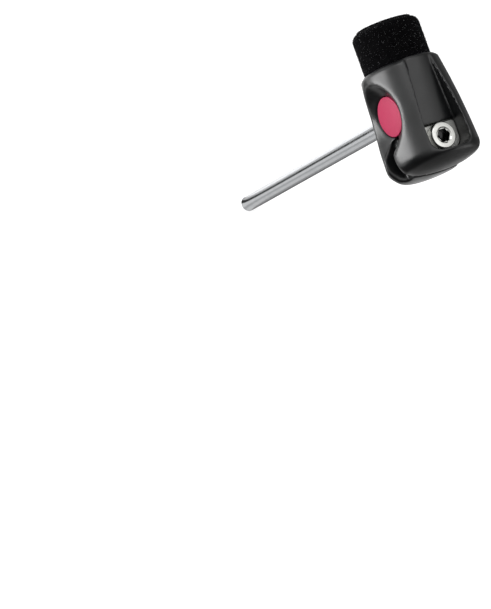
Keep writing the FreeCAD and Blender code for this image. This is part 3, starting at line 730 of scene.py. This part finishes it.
# %% Zinc plated steel
zinc, tree = new_material("zinc_plated_steel")
place = add_node(tree, "ShaderNodeTexCoord").outputs["Object"]
across = add_node(tree, "ShaderNodeMapping", Vector=place,
                  Scale=(1 / (5 * MM), 1 / (0.25 * MM), 1 / (0.25 * MM)))
streaks = add_node(tree, "ShaderNodeTexNoise", Vector=across.outputs["Vector"], Scale=1.0, Detail=3.0)
dullness = add_node(tree, "ShaderNodeMapRange", Value=streaks.outputs["Fac"], From_Min=0.3, From_Max=0.7,
                    To_Min=0.50, To_Max=0.64)
tone = add_node(tree, "ShaderNodeMix", {"data_type": "RGBA"}, Factor=streaks.outputs["Fac"],
                A=linear("#D2D2CF"), B=linear("#C2C3C0"))
rolled = add_node(tree, "ShaderNodeBump", Height=streaks.outputs["Fac"], Strength=0.2, Distance=0.01 * MM)
shader = add_node(tree, "ShaderNodeBsdfPrincipled", Base_Color=tone.outputs["Result"], Metallic=1.0,
                  Roughness=dullness.outputs["Result"], Normal=rolled.outputs["Normal"])
add_node(tree, "ShaderNodeOutputMaterial", Surface=shader.outputs["BSDF"])
coat(zinc, plate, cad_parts["clamp_nut"])

# %% [markdown]
# ### Bright zinc
#
# The bolt has the same plating over turned and polished steel, so it is brighter and mirrors more. Fine
# turning rings of 0.2 mm lie round its axis, which is Z. The colour darkens with depth wherever a point is
# nearer to the bolt's axis than the socket's corners. This is painted shade for the socket's recess, so that
# the socket reads as a dark hole with glints on its flats.

# %% Bright zinc
# the depths between which the socket's painted shade fades in
SOCKET_REACH, SOCKET_INSIDE = 3.75 * MM, 3.6 * MM
SOCKET_SHADE_START, SOCKET_SHADE_FULL = HEAD_TOP - 0.4 * MM, HEAD_TOP - 2.4 * MM
bright_zinc, tree = new_material("bright_zinc_plated_steel")
place = add_node(tree, "ShaderNodeTexCoord").outputs["Object"]
along = add_node(tree, "ShaderNodeMapping", Vector=place,
                 Scale=(1 / (4 * MM), 1 / (4 * MM), 1 / (0.2 * MM)))
rings = add_node(tree, "ShaderNodeTexNoise", Vector=along.outputs["Vector"], Scale=1.0, Detail=2.0)
handled = add_node(tree, "ShaderNodeTexNoise", Vector=place, Scale=1 / (2 * MM), Detail=3.0)
dullness = add_node(tree, "ShaderNodeMapRange", Value=handled.outputs["Fac"], From_Min=0.3, From_Max=0.7,
                    To_Min=0.14, To_Max=0.26)
tone = add_node(tree, "ShaderNodeMix", {"data_type": "RGBA"}, Factor=handled.outputs["Fac"],
                A=linear("#DADAD6"), B=linear("#C6C6C2"))
point = add_node(tree, "ShaderNodeSeparateXYZ", Vector=place)
aside = add_node(tree, "ShaderNodeCombineXYZ", X=point.outputs["X"], Y=point.outputs["Y"])
spread = add_node(tree, "ShaderNodeVectorMath", {"operation": "DISTANCE"}, aside.outputs["Vector"],
                  (0, BOLT_Y, 0))
inside = add_node(tree, "ShaderNodeMapRange", Value=spread.outputs["Value"], From_Min=SOCKET_REACH,
                  From_Max=SOCKET_INSIDE)
depth = add_node(tree, "ShaderNodeMapRange", Value=point.outputs["Z"], From_Min=SOCKET_SHADE_START,
                 From_Max=SOCKET_SHADE_FULL, To_Max=inside.outputs["Result"])
# painted shade: inside the socket the colour darkens towards #3A3A3A with depth
socket_shade = add_node(tree, "ShaderNodeMix", {"data_type": "RGBA"}, Factor=depth.outputs["Result"],
                 A=tone.outputs["Result"], B=linear("#3A3A3A"))
cut = add_node(tree, "ShaderNodeBump", Height=rings.outputs["Fac"], Strength=0.15, Distance=0.01 * MM)
shader = add_node(tree, "ShaderNodeBsdfPrincipled", Base_Color=socket_shade.outputs["Result"], Metallic=1.0,
                  Roughness=dullness.outputs["Result"], Normal=cut.outputs["Normal"])
add_node(tree, "ShaderNodeOutputMaterial", Surface=shader.outputs["BSDF"])
coat(bright_zinc, bolt)

# %% [markdown]
# ### Pink acetal
#
# The discs are moulded in a coloured, satin plastic such as acetal, with an index of about 1.48. The colour
# goes right through it and varies a little where the plastic flowed, over about 6 mm. A fine spark-eroded
# texture of 0.2 mm takes the mirror off the face.

# %% Pink acetal
acetal, tree = new_material("satin_pink_acetal")
place = add_node(tree, "ShaderNodeTexCoord").outputs["Object"]
eroded = add_node(tree, "ShaderNodeTexNoise", Vector=place, Scale=1 / (0.2 * MM), Detail=2.0)
flow = add_node(tree, "ShaderNodeTexNoise", Vector=place, Scale=1 / (6 * MM), Detail=2.0)
tone = add_node(tree, "ShaderNodeMix", {"data_type": "RGBA"}, Factor=flow.outputs["Fac"],
                A=linear("#C62E5B"), B=linear("#BF2C57"))
dullness = add_node(tree, "ShaderNodeMapRange", Value=eroded.outputs["Fac"], From_Min=0.3, From_Max=0.7,
                    To_Min=0.40, To_Max=0.52)
texture = add_node(tree, "ShaderNodeBump", Height=eroded.outputs["Fac"], Strength=0.25, Distance=0.01 * MM)
shader = add_node(tree, "ShaderNodeBsdfPrincipled", Base_Color=tone.outputs["Result"], IOR=1.48,
                  Roughness=dullness.outputs["Result"], Normal=texture.outputs["Normal"],
                  Specular_IOR_Level=0.25)
add_node(tree, "ShaderNodeOutputMaterial", Surface=shader.outputs["BSDF"])
coat(acetal, left_disc, right_disc)

# %% [markdown]
# ### Turned aluminium
#
# The hub is turned from aluminium bar. Only slivers of it show, down the slot and beside the discs, so it
# keeps its CAD mesh and gets a satin finish with turning rings of 0.3 mm round its axis, which is X.

# %% Turned aluminium
aluminium, tree = new_material("turned_aluminium")
place = add_node(tree, "ShaderNodeTexCoord").outputs["Object"]
along = add_node(tree, "ShaderNodeMapping", Vector=place,
                 Scale=(1 / (0.3 * MM), 1 / (8 * MM), 1 / (8 * MM)))
rings = add_node(tree, "ShaderNodeTexNoise", Vector=along.outputs["Vector"], Scale=1.0, Detail=2.0)
dullness = add_node(tree, "ShaderNodeMapRange", Value=rings.outputs["Fac"], To_Min=0.28, To_Max=0.42)
cut = add_node(tree, "ShaderNodeBump", Height=rings.outputs["Fac"], Strength=0.2, Distance=0.01 * MM)
shader = add_node(tree, "ShaderNodeBsdfPrincipled", Base_Color=linear("#C9CACC"), Metallic=1.0,
                  Roughness=dullness.outputs["Result"], Normal=cut.outputs["Normal"])
add_node(tree, "ShaderNodeOutputMaterial", Surface=shader.outputs["BSDF"])
coat(aluminium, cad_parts["pivot_hub"])
print("materials:", [m.name for m in bpy.data.materials if m.users])

# %% [markdown]
# ## Floor and world
#
# The beater stands on a white sweep. To the camera, and in reflections, the floor is white by its own glow,
# with a share of real diffuse light on top, so that the object's shadow still darkens it. For bounced light
# it is a plain white surface. The world is white where it is seen and a calmer grey where it lights.

# %% Floor
def seen_directly(tree):
    """Is 1 for rays that see a surface or its mirror image, and 0 for those that gather light."""
    path = add_node(tree, "ShaderNodeLightPath")
    mirrored = add_node(tree, "ShaderNodeMath", {"operation": "MAXIMUM"}, path.outputs["Is Camera Ray"],
                        path.outputs["Is Glossy Ray"])
    seen = add_node(tree, "ShaderNodeMath", {"operation": "MAXIMUM"}, mirrored.outputs["Value"],
                    path.outputs["Is Transmission Ray"])
    return seen.outputs["Value"]


bpy.ops.mesh.primitive_plane_add(size=6)
floor = bpy.context.object
floor.name = "floor"
white, tree = new_material("white_sweep")
paper = add_node(tree, "ShaderNodeBsdfDiffuse", Color=(0.7, 0.7, 0.7, 1))
shadowed = add_node(tree, "ShaderNodeBsdfDiffuse", Color=(0.6, 0.6, 0.6, 1))
glow = add_node(tree, "ShaderNodeEmission", Color=(1, 1, 1, 1), Strength=0.72)
bright = add_node(tree, "ShaderNodeAddShader", None, shadowed.outputs["BSDF"], glow.outputs["Emission"])
choose = add_node(tree, "ShaderNodeMixShader", None, seen_directly(tree), paper.outputs["BSDF"],
                  bright.outputs["Shader"])
add_node(tree, "ShaderNodeOutputMaterial", Surface=choose.outputs["Shader"])
coat(white, floor)
print("floor:", [round(d, 1) for d in floor.dimensions], "m")

# %% World
world = bpy.data.worlds.new("studio")
bpy.context.scene.world = world
world.use_nodes = True
tree = world.node_tree
tree.nodes.clear()
dim = add_node(tree, "ShaderNodeBackground", Color=(1, 1, 1, 1), Strength=0.55)
plain = add_node(tree, "ShaderNodeBackground", Color=(1, 1, 1, 1), Strength=1.0)
choose = add_node(tree, "ShaderNodeMixShader", None, seen_directly(tree), dim.outputs["Background"],
                  plain.outputs["Background"])
add_node(tree, "ShaderNodeOutputWorld", Surface=choose.outputs["Shader"])
print("world:", world.name)

# %% [markdown]
# ## Light
#
# Black gloss and chrome show hardly anything of their own: one sees what they reflect. A photographer
# therefore lights them with soft boxes for bright bands and puts dark cards round the set for the bands in
# between. Here the two jobs are kept apart. Two soft boxes, one close on the left and a larger one high in
# front, light the colours and are hidden from reflections. They are placed by their bearing and height in
# degrees, as seen from the hub. What is mirrored is drawn by cards.

# %% Soft boxes
def direction(bearing, height):
    """The unit vector at a bearing round Z from +X and a height above the horizon, in degrees."""
    turn, rise = math.radians(bearing), math.radians(height)
    return Vector((math.cos(rise) * math.cos(turn), math.cos(rise) * math.sin(turn), math.sin(rise)))


def soft_box(name, bearing, height, distance, size, radiance):
    """A lamp of a width and a height that faces the hub, given by the brightness of its face."""
    data = bpy.data.lights.new(name, "AREA")
    data.shape = "RECTANGLE"
    data.size, data.size_y = size
    data.energy = radiance * math.pi * size[0] * size[1]
    lamp = bpy.data.objects.new(name, data)
    bpy.context.scene.collection.objects.link(lamp)
    lamp.location = HUB + direction(bearing, height) * distance
    lamp.rotation_mode = "QUATERNION"
    lamp.rotation_quaternion = (HUB - lamp.location).to_track_quat("-Z", "Y")
    lamp.visible_camera = lamp.visible_glossy = False
    print(f"{name}: {data.energy:.2f} W")


soft_box("left_box", 163, -11, 0.27, (0.15, 0.25), 3.0)
soft_box("front_box", 113, 46, 1.0, (0.5, 0.5), 3.8)

# %% [markdown]
# The cards show in reflections only, so that the floor stays white and keeps its shadow. Each one is a strip
# between two arcs. Round the set stand walls that are dark below and fade to light above, which gives the
# black plastic its long gradients. Bright cards stand where the boxes are, close on the left for the bands
# down the head's side and high in front for the light on the front of its barrel. A white one hangs overhead
# and a narrow one stands behind, for the light edge at the head's back. On the floor, the cards round the
# rod's foot draw the bands along the rod, and the wider ones darken what the dish and the back mirror.

# %% Cards
def card(name, start, end, inner, outer, brightness):
    """A strip between two arcs, each a radius and a height, of one brightness or graded by height."""
    points, faces = [], []
    for angle in range(start, end + 1):
        bearing = direction(angle, 0)
        points += [bearing * radius + Vector((0, 0, height)) for radius, height in (inner, outer)]
        if angle > start:
            faces.append([len(points) - 4, len(points) - 3, len(points) - 1, len(points) - 2])
    mesh = bpy.data.meshes.new(name)
    mesh.from_pydata(points, [], faces)
    strip = bpy.data.objects.new(name, mesh)
    bpy.context.scene.collection.objects.link(strip)
    material, tree = new_material(name)
    if isinstance(brightness, tuple):
        place = add_node(tree, "ShaderNodeTexCoord").outputs["Object"]
        height = add_node(tree, "ShaderNodeSeparateXYZ", Vector=place).outputs["Z"]
        fade = add_node(tree, "ShaderNodeMapRange", Value=height, From_Min=inner[1], From_Max=outer[1],
                        To_Min=brightness[0], To_Max=brightness[1])
        brightness = fade.outputs["Result"]
    face_light = add_node(tree, "ShaderNodeEmission", Color=(1, 1, 1, 1), Strength=brightness)
    add_node(tree, "ShaderNodeOutputMaterial", Surface=face_light.outputs["Emission"])
    coat(material, strip)
    for ray in ("camera", "diffuse", "shadow", "transmission"):
        setattr(strip, "visible_" + ray, False)


# %% Walls and standing cards
WALL, CEILING, LEFT, FRONT, BEHIND = 1.2, 2.3, 0.262, 0.7, 0.4
for name, start, end, inner, outer, brightness in (
    ("back_wall_low", 176, 290, (WALL, 0), (WALL, 0.75), 0.03),
    ("back_wall_high", 176, 290, (WALL, 0.75), (WALL, CEILING), (0.03, 0.8)),
    ("right_wall_low", 290, 425, (WALL, 0), (WALL, 0.4), 0.15),
    ("right_wall_high", 290, 425, (WALL, 0.4), (WALL, CEILING), (0.15, 1.3)),
    ("overhead_card", 0, 360, (MM, CEILING), (WALL, CEILING), 1.5),
    ("front_wall", 88, 112, (WALL, 0), (WALL, 0.85), 0.1),
    ("left_card_dim", 146, 160, (LEFT, 0), (LEFT, 0.255), 6.0),
    ("left_card_bright", 160, 181, (LEFT, 0), (LEFT, 0.255), 9.5),
    ("front_card", 98, 128, (FRONT, 0.70), (FRONT, 1.10), 3.8),
    ("back_strip", 305, 319, (BEHIND, 0), (BEHIND, 0.29), 1.2),
):
    card(name, start, end, inner, outer, brightness)
    print(f"{name}: {end - start} degrees")

# %% Floor cards
LOW = 0.3 * MM
for name, start, end, inner, outer, brightness in (
    ("rod_upper", 104, 134, MM, 0.125, 0.55),
    ("rod_line", 134, 164, MM, 0.125, 0.05),
    ("rod_centre", 164, 200, MM, 0.115, 0.7),
    ("rod_middle", 200, 228, MM, 0.115, 0.46),
    ("rod_lower", 228, 278, MM, 0.115, 0.62),
    ("rod_shade", 278, 318, MM, 0.115, 0.31),
    ("rod_edge", 318, 352, MM, 0.10, 0.10),
    ("left_floor", 203, 285, 0.115, WALL, 0.07),
    ("near_floor", 300, 318, 0.115, 0.19, 0.45),
    ("back_floor", 285, 360, 0.19, WALL, 0.13),
    ("right_floor", 0, 60, 0.115, WALL, 0.25),
    ("front_floor", 65, 112, 0.17, 0.32, 0.3),
):
    card(name, start, end, (inner, LOW), (outer, LOW), brightness)
    print(f"{name}: {end - start} degrees")

# %% [markdown]
# ## Finish
#
# Standard view keeps colours as written.

# %% Finish
bpy.context.scene.view_settings.view_transform = "Standard"
